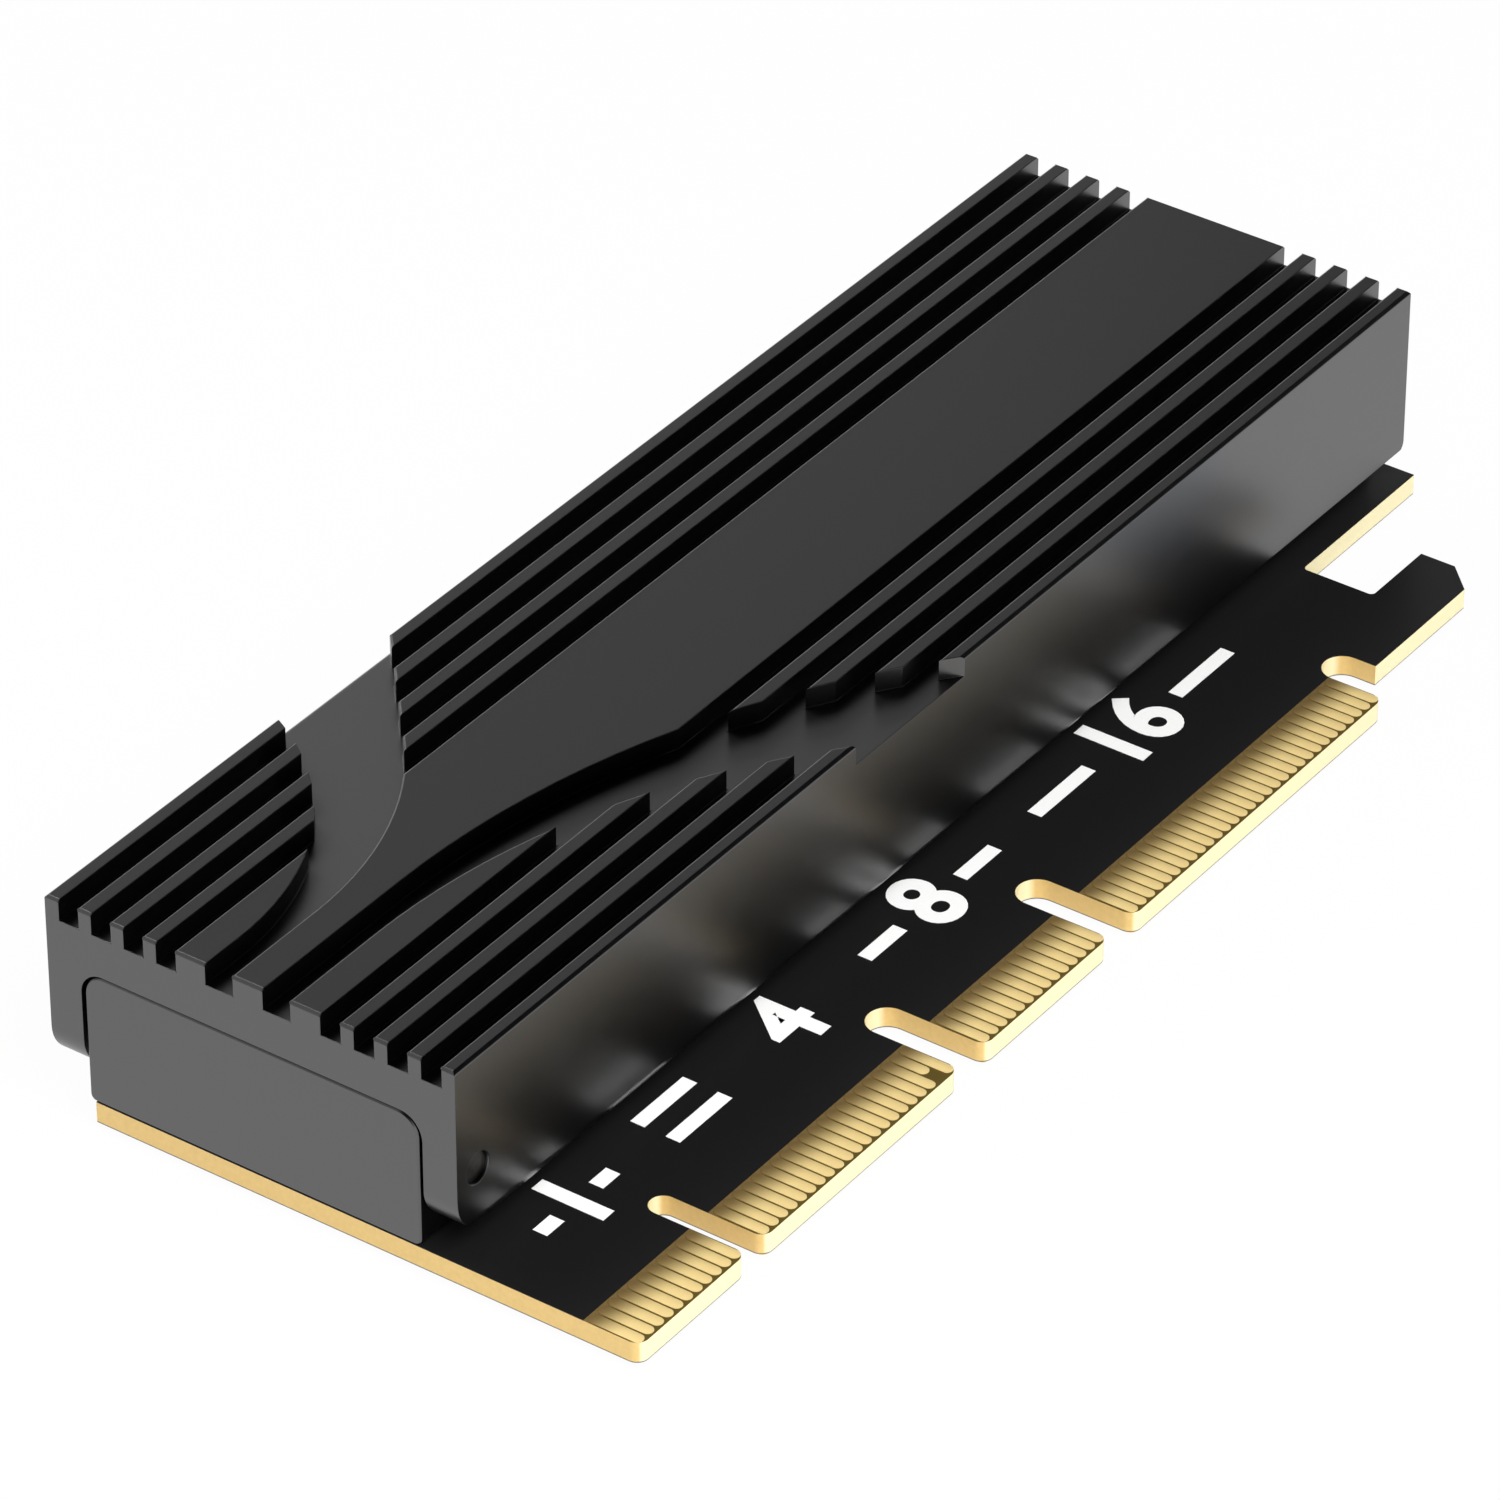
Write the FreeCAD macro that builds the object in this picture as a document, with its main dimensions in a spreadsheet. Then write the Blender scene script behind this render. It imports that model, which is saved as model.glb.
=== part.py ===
"""NVMe adapter card: a full-length x16 edge-connector board that carries one M.2 solid-state drive.

The drive lies in a bay between the board and a milled heatsink core. A finned
cover, an inverted U with two curved channels across its fins, sits over the core.

Frame: +X points towards the gold edge contacts, +Y runs along the card away from
its rear-panel end, +Z rises from the board to the fins. The origin is the middle
of the card's footprint, on the surface that its screw heads rest on. Millimetres.
"""
import FreeCAD, Part
import math
import os

import Sketcher
from FreeCAD import Placement, Rotation, Vector

doc = FreeCAD.newDocument("nvme_adapter_card")
sheet = doc.addObject("Spreadsheet::Sheet", "dims")

# ---------------------------------------------------------------- driving dimensions

DIMENSIONS = {
    # the board
    "card_length": 108.3,
    "board_thickness": 1.6,
    "board_left": -19.29,
    "tongue_edge": 22.61,
    "tab_radius": 0.85,
    # edge contacts: 1 mm pitch, a key gap after position 11
    "contact_pitch": 1.0,
    "first_contact": -53.65,
    "key_shift": 2.0,
    "contact_width": 0.84,
    "contact_height": 0.05,
    "contact_corner": 0.23,
    "contact_start": 18.66,
    "contact_end": 22.48,
    "short_contact_end": 21.36,
    "tab_margin": 0.55,
    "lane_slot_floor": 14.71,
    "hook_slot_floor": 17.11,
    "hook_slot_end": 32.8,
    # the retention hook at the far end
    "hook_edge": 20.21,
    "hook_end": 46.1,
    "hook_chamfer": 2.0,
    "notch_floor": 39.9,
    "notch_inner": 15.51,
    "notch_outer": 9.96,
    "notch_radius": 0.35,
    # heatsink cover
    "sink_centre": -6.81,
    "cover_width": 31.6,
    "cover_top": 14.55,
    "leg_foot": 1.6,
    "leg_corner": 1.5,
    "leg_inner_round": 1.0,
    "leg_outer_round": 0.5,
    "arch_width": 26.4,
    "arch_radius": 1.7,
    "fin_width": 1.1,
    "fin_pitch": 2.545,
    "channel_depth": 1.55,
    "edge_break": 0.2,
    # curved channel that leaves on the left side; cuts run past the solid they cut
    "cut_overrun": 1.0,
    "left_near_wall": -3.24,
    "left_near_start": -50.75,
    "left_near_radius": 22.2,
    "left_far_wall": -1.2,
    "left_far_start": -45.9,
    "left_far_radius": 27.2,
    "left_far_sweep": 41.3,
    # curved channel that leaves on the right side
    "right_far_wall": 1.2,
    "right_far_start": -40.35,
    "right_far_radius": 63.5,
    "right_near_wall": 3.22,
    "right_near_start": -45.5,
    "right_near_radius": 51.0,
    # pins that hold the cover to the core
    "pin_diameter": 2.2,
    "pin_inset": 2.1,
    "pin_rise": 6.1,
    "pin_recess": 0.25,
    "pin_length": 5.2,
    # heatsink core and the drive bay in its underside
    "core_width": 25.85,
    "core_height": 9.85,
    "core_radius": 1.6,
    "core_foot_radius": 0.5,
    "core_edge_break": 0.12,
    "bay_width": 22.2,
    "bay_height": 6.1,
    "end_wall": 6.4,
    "bay_radius": 1.0,
    "pad_width": 20.0,
    "pad_length": 72.0,
    "pad_thickness": 1.2,
    "pad_middle": 0.8,
    # screws from below
    "screw_spread": 19.0,
    "screw_inset": 3.2,
    "head_diameter": 3.8,
    "head_height": 0.6,
    "shank_diameter": 1.9,
    "thread_diameter": 2.0,
    "screw_depth": 3.8,
    "thread_depth": 4.2,
    "clearance_hole": 2.3,
    "recess_arm": 0.35,
    "recess_span": 2.0,
    "recess_depth": 0.35,
    # drive support
    "drive_datum": 42.8,
    "support_height": 2.3,
    "support_diameter": 5.0,
    "spigot_diameter": 3.0,
    "spigot_length": 0.8,
    "support_hole": 3.1,
    "drive_screw_head": 3.4,
    "drive_screw_rise": 0.8,
    "drive_screw_depth": 1.3,
    "support_screw_depth": 2.4,
    # M.2 socket
    "socket_width": 21.9,
    "socket_back": 45.9,
    "socket_depth": 8.7,
    "socket_height": 4.1,
    "socket_lip": 1.4,
    "mouth_width": 20.2,
    "mouth_low": 2.25,
    "mouth_high": 3.55,
    "mouth_depth": 6.4,
    "mouth_bevel": 0.5,
    "key_centre": 6.1,
    "key_width": 1.2,
    "peg_diameter": 1.2,
    "peg_spread": 17.0,
    "peg_inset": 2.0,
    "peg_length": 1.2,
    "strip_pitch": 0.5,
    "strip_width": 0.22,
    "strip_stock": 0.2,
    "strip_tail": 0.8,
    "upper_riser": 0.5,
    "upper_beam_start": 2.2,
    "lower_tail_start": 0.4,
    "lower_riser": 2.2,
    "lower_beam_end": 5.6,
    "lug_width": 1.0,
    "lug_depth": 1.2,
    "lug_height": 0.3,
    # small parts soldered between the near end wall and the drive's support
    "bulk_width": 1.6,
    "bulk_length": 3.2,
    "bulk_height": 1.6,
    "bulk_pitch": 2.6,
    "bulk_start": -8.0,
    "bulk_row": 3.4,
    "chip_width": 0.5,
    "chip_length": 1.0,
    "chip_height": 0.5,
    "chip_pitch": 1.1,
    "chip_start": 3.2,
    "chip_row": 4.2,
    "resistor_height": 0.35,
    "resistor_row": 2.4,
    "lamp_width": 0.8,
    "lamp_length": 1.6,
    "lamp_height": 0.6,
    "lamp_start": 7.2,
    "lamp_row": 2.2,
}

for row, (alias, number) in enumerate(DIMENSIONS.items(), start=1):
    sheet.set(f"A{row}", alias)
    sheet.set(f"B{row}", str(number))
    sheet.setAlias(f"B{row}", alias)
doc.recompute()

nodes = []


def amount(expression):
    """The number that an expression on the sheet's cells comes to."""
    result = sheet.evalExpression(str(expression))
    return float(getattr(result, "Value", result))


# ------------------------------------------------------------------ building blocks


class Piece:
    """A PartDesign body whose sketches and features read their sizes from the sheet."""

    def __init__(self, label, rise="0", across="0", exported=True):
        self.body = doc.addObject("PartDesign::Body", label)
        self.body.Label = label
        self.body.AllowCompound = True
        self.place(across, rise)
        self.count = 0
        if exported:
            nodes.append(self.body)

    def place(self, across, rise):
        self.body.setExpression("Placement.Base.x", str(across))
        self.body.setExpression("Placement.Base.z", str(rise))

    def name(self, kind):
        self.count += 1
        return f"{self.body.Name}_{kind}_{self.count}"

    def sketch(self, plane="XY", offset="0"):
        drawing = self.body.newObject("Sketcher::SketchObject", self.name("sketch"))
        origin = self.body.Origin.OriginFeatures
        support = next(face for face in origin if face.Role == f"{plane}_Plane")
        drawing.AttachmentSupport = [(support, "")]
        drawing.MapMode = "FlatFace"
        drawing.setExpression("AttachmentOffset.Base.z", str(offset))
        return drawing

    def feature(self, kind, drawing, length, **settings):
        made = self.body.newObject(f"PartDesign::{kind}", self.name(kind.lower()))
        made.Profile = drawing
        for key, value in settings.items():
            setattr(made, key, value)
        if length is not None:
            made.setExpression("Length", str(length))
        doc.recompute()
        return made

    def pad(self, drawing, length, **settings):
        return self.feature("Pad", drawing, length, **settings)

    def pocket(self, drawing, length, **settings):
        before = self.body.Shape.Volume
        made = self.feature("Pocket", drawing, length, **settings)
        if not self.body.Shape.Volume < before - 1e-6:
            raise RuntimeError(f"{made.Name} removed nothing from {self.body.Label}")
        return made

    def dress(self, kind, size_name, size, chosen):
        """A fillet or chamfer on every edge of the tip that the test accepts."""
        base = self.body.Tip
        edges = base.Shape.Edges
        names = [f"Edge{i}" for i, edge in enumerate(edges, start=1) if chosen(edge)]
        made = self.body.newObject(f"PartDesign::{kind}", self.name(kind.lower()))
        made.Base = (base, names)
        made.setExpression(size_name, str(size))
        doc.recompute()
        return made

    def fillet(self, size, chosen):
        return self.dress("Fillet", "Radius", size, chosen)

    def chamfer(self, size, chosen):
        return self.dress("Chamfer", "Size", size, chosen)

    def repeat(self, original, step, occurrences, axis="Y_Axis"):
        """A row of copies of one feature along an origin axis."""
        row_of = self.body.newObject("PartDesign::LinearPattern", self.name("row"))
        row_of.Originals = [original]
        direction = next(
            line for line in self.body.Origin.OriginFeatures if line.Role == axis
        )
        row_of.Direction = (direction, [""])
        row_of.Occurrences = occurrences
        row_of.setExpression("Length", f"({step}) * {occurrences - 1}")
        self.body.Tip = row_of
        doc.recompute()
        return row_of


def bind_point(drawing, geometry, end, x, y):
    """Fix one end of a line or arc, or a centre, at a place given by two expressions."""
    for kind, axis, expression in (("DistanceX", -2, x), ("DistanceY", -1, y)):
        if str(expression) == "0":
            drawing.addConstraint(
                Sketcher.Constraint("PointOnObject", geometry, end, axis)
            )
            continue
        index = drawing.addConstraint(
            Sketcher.Constraint(kind, -1, 1, geometry, end, amount(expression))
        )
        drawing.setExpression(f"Constraints[{index}]", str(expression))


HALF_ROUND = "half round"


def arc_between(start, end, radius):
    """The short arc of a signed radius from start to end: positive turns left."""
    chord = end - start
    half = chord.Length / 2
    to_centre = math.sqrt(max(radius * radius - half * half, 0.0))
    side = Vector(-chord.y, chord.x, 0).normalize() * math.copysign(to_centre, radius)
    centre = start + chord * 0.5 + side
    first = math.atan2(start.y - centre.y, start.x - centre.x)
    last = math.atan2(end.y - centre.y, end.x - centre.x)
    if radius < 0:
        first, last = last, first
    circle = Part.Circle(centre, Vector(0, 0, 1), abs(radius))
    return Part.ArcOfCircle(circle, first, last)


def outline(drawing, corners):
    """A closed outline. Each corner is (x, y) or (x, y, arc that follows).

    An arc is given by its radius, positive when it turns left, or is HALF_ROUND.
    """
    points = [Vector(amount(c[0]), amount(c[1]), 0) for c in corners]
    first = drawing.GeometryCount
    ends = []
    for i, corner in enumerate(corners):
        start, end = points[i], points[(i + 1) % len(points)]
        if len(corner) == 3:
            half_round = corner[2] == HALF_ROUND
            radius = (end - start).Length / 2 if half_round else amount(corner[2])
            index = drawing.addGeometry(arc_between(start, end, radius), False)
            ends.append((1, 2) if radius > 0 else (2, 1))
        else:
            index = drawing.addGeometry(Part.LineSegment(start, end), False)
            ends.append((1, 2))
    for i, corner in enumerate(corners):
        index, previous = first + i, first + (i - 1) % len(corners)
        drawing.addConstraint(
            Sketcher.Constraint(
                "Coincident", previous, ends[i - 1][1], index, ends[i][0]
            )
        )
        bind_point(drawing, index, ends[i][0], corner[0], corner[1])
        if len(corner) == 3 and corner[2] == HALF_ROUND:
            drawing.addConstraint(Sketcher.Constraint("Angle", index, math.pi))
        elif len(corner) == 3:
            size = drawing.addConstraint(
                Sketcher.Constraint("Radius", index, abs(amount(corner[2])))
            )
            drawing.setExpression(f"Constraints[{size}]", f"abs({corner[2]})")


def mirrored(corners):
    """The other half of a symmetrical outline: the same corners, run backwards."""
    half = []
    for i in reversed(range(len(corners))):
        x, y = corners[i][:2]
        arc = corners[i - 1][2:] if i else ()
        half.append((f"-({x})", y, *arc))
    return half


def rectangle(drawing, left, right, low, high):
    outline(drawing, [(left, low), (right, low), (right, high), (left, high)])


def circle(drawing, x, y, diameter):
    ring = Part.Circle(Vector(amount(x), amount(y), 0), Vector(0, 0, 1), 1.0)
    index = drawing.addGeometry(ring, False)
    bind_point(drawing, index, 3, x, y)
    size = drawing.addConstraint(
        Sketcher.Constraint("Diameter", index, amount(diameter))
    )
    drawing.setExpression(f"Constraints[{size}]", str(diameter))


def cross(drawing, x, y, arm, span):
    """The plus-shaped mouth of a screw's driver recess."""
    w, s = f"{arm} / 2", f"{span} / 2"
    steps = [(1, -2), (1, -1), (2, -1), (2, 1), (1, 1), (1, 2)]
    steps += [(-a, -b) for a, b in steps]
    reach = {1: w, 2: s}

    def along(base, step):
        return f"{base} {'+' if step > 0 else '-'} {reach[abs(step)]}"

    outline(drawing, [(along(x, a), along(y, b)) for a, b in steps])


def same(a, b):
    return abs(a - b) < SAME


def start_of(edge):
    return edge.Vertexes[0].Point


def parallel_to(edge, axis):
    """Whether an edge is a straight line along an axis."""
    ends = [vertex.Point for vertex in edge.Vertexes]
    if len(ends) != 2 or edge.Curve.TypeId != "Part::GeomLine":
        return False
    return abs((ends[1] - ends[0]).normalize().dot(axis)) > PARALLEL


def compound(label, members):
    """One node that holds several equal solids."""
    group = doc.addObject("Part::Compound", label)
    group.Label = label
    group.Links = members
    nodes.append(group)
    return group


X, Y, Z = Vector(1, 0, 0), Vector(0, 1, 0), Vector(0, 0, 1)
NEAR, FAR = "-dims.card_length / 2", "dims.card_length / 2"
PIN_OUTER = "dims.cover_width / 2 - dims.pin_recess"
BOARD_TOP = "dims.head_height + dims.board_thickness"

# Edge-contact positions on each tab, counted along the connector from the near end.
TABS = [(1, 11), (12, 32), (36, 49), (53, 82)]
FIRST_AFTER_KEY = 12
FINS_EACH_SIDE = 4

# How near two places are that count as one, and how straight counts as parallel.
SAME = 1e-4
PARALLEL = 0.9999


def contact_place(position):
    """The place along the card of a contact position, as an expression."""
    place = f"dims.first_contact + {position - 1} * dims.contact_pitch"
    return place + " + dims.key_shift" if position >= FIRST_AFTER_KEY else place


# ------------------------------------------------------------------------ the board

DRIVE_LENGTHS = (80, 60, 42, 30)
SCREW_PLACES = [
    (f"dims.sink_centre {a} dims.screw_spread / 2", f"{end} {b} dims.screw_inset")
    for a in "-+"
    for end, b in ((NEAR, "+"), (FAR, "-"))
]


def support_place(length):
    """The place along the card of the support for a drive of one length."""
    return f"dims.drive_datum - {length}"


def make_board():
    """The board's outline, the full-round slots in its tongue, and its holes."""
    board = Piece("circuit_board", rise="dims.head_height")
    last_contact = TABS[-1][1]
    tongue_end = f"{contact_place(last_contact)} + dims.tab_margin"
    plan = board.sketch()
    outline(
        plan,
        [
            ("dims.board_left", NEAR),
            ("dims.tongue_edge", NEAR),
            ("dims.tongue_edge", tongue_end),
            ("dims.hook_edge", tongue_end),
            ("dims.hook_edge", "dims.hook_end - dims.hook_chamfer"),
            ("dims.hook_edge - dims.hook_chamfer", "dims.hook_end"),
            ("dims.notch_inner", "dims.hook_end"),
            ("dims.notch_inner", "dims.notch_floor"),
            ("dims.notch_outer", "dims.notch_floor"),
            ("dims.notch_outer", FAR),
            ("dims.board_left", FAR),
        ],
    )
    board.pad(plan, "dims.board_thickness")

    # the first slot is the connector's key, the last one parts tongue and hook
    slots = [
        (
            f"{contact_place(last)} + dims.tab_margin",
            f"{contact_place(first)} - dims.tab_margin",
            "dims.lane_slot_floor",
        )
        for (_, last), (first, _) in zip(TABS, TABS[1:])
    ]
    slots.append((tongue_end, "dims.hook_slot_end", "dims.hook_slot_floor"))
    slot_plan = board.sketch()
    for low, high, floor in slots:
        round_end = f"{floor} + (({high}) - ({low})) / 2"
        outline(
            slot_plan,
            [
                ("dims.tongue_edge + dims.cut_overrun", low),
                ("dims.tongue_edge + dims.cut_overrun", high),
                (round_end, high, HALF_ROUND),
                (round_end, low),
            ],
        )
    board.pocket(slot_plan, None, Type="ThroughAll", Midplane=True)

    holes = board.sketch()
    for x, y in SCREW_PLACES:
        circle(holes, x, y, "dims.clearance_hole")
    for length in DRIVE_LENGTHS:
        circle(holes, "dims.sink_centre", support_place(length), "dims.support_hole")
    for side in "-+":
        circle(
            holes,
            f"dims.sink_centre {side} dims.peg_spread / 2",
            "dims.socket_back - dims.peg_inset",
            "dims.peg_diameter",
        )
    board.pocket(holes, None, Type="ThroughAll", Midplane=True)

    tongue = amount("dims.tongue_edge")
    notch_floor = amount("dims.notch_floor")
    board.fillet(
        "dims.tab_radius",
        lambda e: parallel_to(e, Z) and same(start_of(e).x, tongue),
    )
    board.fillet(
        "dims.notch_radius",
        lambda e: parallel_to(e, Z) and same(start_of(e).y, notch_floor),
    )


def make_contacts():
    """Raised pads on both faces of the tongue. Presence-detect pads are short."""
    half, cut = "dims.contact_width / 2", "dims.contact_corner"
    # each face's label, the height it starts from, and its short pad's position
    board_faces = (
        ("edge_contacts_top", BOARD_TOP, 31),
        ("edge_contacts_bottom", "dims.head_height - dims.contact_height", 1),
    )
    for label, rise, short_place in board_faces:
        side = Piece(label, rise=rise)
        for first, last in TABS:
            runs = [(first, last)]
            if first <= short_place <= last:
                runs = [(first, short_place - 1), (short_place, short_place)]
                runs.append((short_place + 1, last))
            for start, stop in runs:
                if stop < start:
                    continue
                is_short = start == stop == short_place
                end = "dims.short_contact_end" if is_short else "dims.contact_end"
                middle = contact_place(start)
                pad_plan = side.sketch()
                outline(
                    pad_plan,
                    [
                        ("dims.contact_start", f"{middle} - {half}"),
                        (f"{end} - {cut}", f"{middle} - {half}"),
                        (end, f"{middle} - {half} + {cut}"),
                        (end, f"{middle} + {half} - {cut}"),
                        (f"{end} - {cut}", f"{middle} + {half}"),
                        ("dims.contact_start", f"{middle} + {half}"),
                    ],
                )
                made = side.pad(pad_plan, "dims.contact_height")
                if stop > start:
                    side.repeat(made, "dims.contact_pitch", stop - start + 1)


# --------------------------------------------------------------------- the heatsink


def make_cover():
    """The finned cover: an extruded arch, then the curved channels milled across it."""
    cover = Piece("heatsink_cover", rise=BOARD_TOP, across="dims.sink_centre")
    section = cover.sketch("XZ")
    outer, arch = "dims.cover_width / 2", "dims.arch_width / 2"
    top, floor = "dims.cover_top", "dims.cover_top - dims.channel_depth"
    inner_round, outer_round = "dims.leg_inner_round", "dims.leg_outer_round"
    right_half = [
        (arch, "dims.core_height - dims.arch_radius"),
        (arch, f"dims.leg_foot + {inner_round}", inner_round),
        (f"{arch} + {inner_round}", "dims.leg_foot"),
        (f"{outer} - {outer_round}", "dims.leg_foot", outer_round),
        (outer, f"dims.leg_foot + {outer_round}"),
        (outer, top),
    ]
    for fin in range(FINS_EACH_SIDE):
        inner_side = f"{outer} - {fin} * dims.fin_pitch - dims.fin_width"
        next_fin = f"{outer} - {fin + 1} * dims.fin_pitch"
        right_half += [
            (inner_side, top),
            (inner_side, floor),
            (next_fin, floor),
            (next_fin, top),
        ]
    roof = [(f"{arch} - dims.arch_radius", "dims.core_height", "-dims.arch_radius")]
    outline(section, right_half + mirrored(roof + right_half) + roof)
    cover.pad(section, "dims.card_length", Midplane=True)

    side = f"({outer} + dims.cut_overrun)"
    start = f"{NEAR} - dims.cut_overrun"

    def reach(wall, begin, radius, sign):
        """Where an arc that leaves a wall at its start crosses the line past the side."""
        across = f"({side} {'-' if sign > 0 else '+'} {wall})"
        return f"{begin} + sqrt({radius} ^ 2 - ({radius} - {across}) ^ 2)"

    left_turn = cover.sketch("XY", top)
    sweep, far = "dims.left_far_sweep", "dims.left_far_radius"
    bend_x = f"(dims.left_far_wall - {far} * (1 - cos({sweep})))"
    bend_y = f"(dims.left_far_start + {far} * sin({sweep}))"
    near_exit = reach(
        "dims.left_near_wall", "dims.left_near_start", "dims.left_near_radius", -1
    )
    outline(
        left_turn,
        [
            ("dims.left_far_wall", start),
            ("dims.left_far_wall", "dims.left_far_start", far),
            (bend_x, bend_y),
            (f"-{side}", f"{bend_y} + ({side} + {bend_x}) / tan({sweep})"),
            (f"-{side}", near_exit, "-dims.left_near_radius"),
            ("dims.left_near_wall", "dims.left_near_start"),
            ("dims.left_near_wall", start),
        ],
    )
    cover.pocket(left_turn, "dims.channel_depth")

    right_turn = cover.sketch("XY", top)
    far_exit = reach(
        "dims.right_far_wall", "dims.right_far_start", "dims.right_far_radius", 1
    )
    near_exit = reach(
        "dims.right_near_wall", "dims.right_near_start", "dims.right_near_radius", 1
    )
    outline(
        right_turn,
        [
            ("dims.right_near_wall", start),
            ("dims.right_near_wall", "dims.right_near_start", "-dims.right_near_radius"),
            (side, near_exit),
            (side, far_exit, "dims.right_far_radius"),
            ("dims.right_far_wall", "dims.right_far_start"),
            ("dims.right_far_wall", start),
        ],
    )
    cover.pocket(right_turn, "dims.channel_depth")

    leg_ends = cover.sketch("YZ")
    foot, corner = "dims.leg_foot", "dims.leg_corner"
    for end, inwards in ((NEAR, 1), (FAR, -1)):
        inner = f"{end} + {inwards} * {corner}"
        beyond = f"{end} - {inwards} * dims.cut_overrun"
        outline(
            leg_ends,
            [
                (beyond, f"{foot} - dims.cut_overrun"),
                (inner, f"{foot} - dims.cut_overrun"),
                (inner, foot, f"{-inwards} * {corner}"),
                (end, f"{foot} + {corner}"),
                (beyond, f"{foot} + {corner}"),
            ],
        )
    cover.pocket(leg_ends, None, Type="ThroughAll", Midplane=True)

    crest, half_width, half_length = (
        amount(size) for size in (top, outer, "dims.card_length / 2")
    )

    def on_rim(edge):
        """Whether an edge lies on the outer rim of the fins' tops."""
        spots = [vertex.Point for vertex in edge.Vertexes]
        at_top = all(same(p.z, crest) for p in spots)
        at_side = all(same(abs(p.x), half_width) for p in spots)
        at_end = all(same(abs(p.y), half_length) for p in spots)
        return at_top and (at_side or at_end)

    cover.chamfer("dims.edge_break", on_rim)

    bores = cover.sketch("YZ")
    circle(bores, f"{NEAR} + dims.pin_inset", "dims.pin_rise", "dims.pin_diameter")
    cover.pocket(bores, None, Type="ThroughAll", Midplane=True)


def make_core():
    """The milled block under the cover, with the drive bay open to the board."""
    core = Piece("heatsink_core", rise=BOARD_TOP, across="dims.sink_centre")
    half, high = "dims.core_width / 2", "dims.core_height"
    section = core.sketch("XZ")
    rectangle(section, f"-{half}", half, "0", high)
    core.pad(section, "dims.card_length", Midplane=True)
    crest = amount(high)
    core.fillet(
        "dims.core_radius",
        lambda e: parallel_to(e, Y) and same(start_of(e).z, crest),
    )
    core.fillet(
        "dims.core_foot_radius",
        lambda e: parallel_to(e, Y) and same(start_of(e).z, 0),
    )
    end = amount(FAR)
    core.chamfer(
        "dims.core_edge_break",
        lambda e: all(same(abs(v.Y), end) for v in e.Vertexes),
    )
    bay = core.sketch()
    rectangle(
        bay,
        "-dims.bay_width / 2",
        "dims.bay_width / 2",
        f"{NEAR} + dims.end_wall",
        f"{FAR} - dims.end_wall",
    )
    core.pocket(bay, "dims.bay_height", Reversed=True)
    bay_side = amount("dims.bay_width / 2")
    core.fillet(
        "dims.bay_radius",
        lambda e: parallel_to(e, Z) and same(abs(start_of(e).x), bay_side),
    )
    threads = core.sketch()
    for x, y in SCREW_PLACES:
        circle(threads, f"{x} - dims.sink_centre", y, "dims.thread_diameter")
    core.pocket(threads, "dims.thread_depth", Reversed=True)

    for side in "+-":
        bore = core.sketch("YZ", f"{side} ({PIN_OUTER} - dims.pin_length)")
        circle(bore, f"{NEAR} + dims.pin_inset", "dims.pin_rise", "dims.pin_diameter")
        core.pocket(bore, half, Reversed=side == "+")


def make_cover_pins():
    """Plain pins pressed through each leg of the cover into the core's end wall."""
    pins = []
    for side, sign in (("right", 1), ("left", -1)):
        pin = doc.addObject("Part::Cylinder", f"cover_pin_{side}")
        pin.setExpression("Radius", "dims.pin_diameter / 2")
        pin.setExpression("Height", "dims.pin_length")
        pin.Placement.Rotation = Rotation(Z, X * -sign)
        pin.setExpression(
            "Placement.Base.x", f"dims.sink_centre + {sign} * ({PIN_OUTER})"
        )
        pin.setExpression("Placement.Base.y", f"{NEAR} + dims.pin_inset")
        pin.setExpression("Placement.Base.z", f"{BOARD_TOP} + dims.pin_rise")
        pins.append(pin)
    compound("cover_pins", pins)


def make_thermal_pad():
    pad = doc.addObject("Part::Box", "thermal_pad")
    pad.Label = "thermal_pad"
    pad.setExpression("Length", "dims.pad_width")
    pad.setExpression("Width", "dims.pad_length")
    pad.setExpression("Height", "dims.pad_thickness")
    pad.setExpression("Placement.Base.x", "dims.sink_centre - dims.pad_width / 2")
    pad.setExpression("Placement.Base.y", "dims.pad_middle - dims.pad_length / 2")
    pad.setExpression(
        "Placement.Base.z", f"{BOARD_TOP} + dims.bay_height - dims.pad_thickness"
    )
    nodes.append(pad)


# ------------------------------------------------------------- screws and supports


def make_screw(label, places, head, head_height, depth, upwards):
    """Cross-recess screws with flat heads, on the board's underside or on the support."""
    screw = Piece(label, rise="0" if upwards else f"{BOARD_TOP} + dims.support_height")
    heads = screw.sketch()
    shanks = screw.sketch("XY", head_height if upwards else "0")
    mouths = screw.sketch("XY", "0" if upwards else head_height)
    for x, y in places:
        circle(heads, x, y, head)
        circle(shanks, x, y, "dims.shank_diameter")
        cross(mouths, x, y, "dims.recess_arm", "dims.recess_span")
    screw.pad(heads, head_height)
    screw.pad(shanks, depth, Reversed=not upwards)
    screw.pocket(mouths, "dims.recess_depth", Reversed=upwards)


def make_support():
    """The brass pillar that a drive's free end is screwed down on."""
    support = Piece("drive_support", rise=BOARD_TOP)
    x, y = "dims.sink_centre", support_place(DRIVE_LENGTHS[0])
    pillar = support.sketch()
    circle(pillar, x, y, "dims.support_diameter")
    circle(pillar, x, y, "dims.thread_diameter")
    support.pad(pillar, "dims.support_height")
    spigot = support.sketch()
    circle(spigot, x, y, "dims.spigot_diameter")
    circle(spigot, x, y, "dims.thread_diameter")
    support.pad(spigot, "dims.spigot_length", Reversed=True)


# ------------------------------------------------------------------ the M.2 socket

# Contact strips in each row: how far the first stands from the socket's middle, and
# runs of (first strip, number of strips) on both sides of the key.
SOCKET_ROWS = {
    "upper": (-9.25, [(0, 29), (33, 5)]),
    "lower": (-9.0, [(0, 29), (33, 4)]),
}


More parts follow.
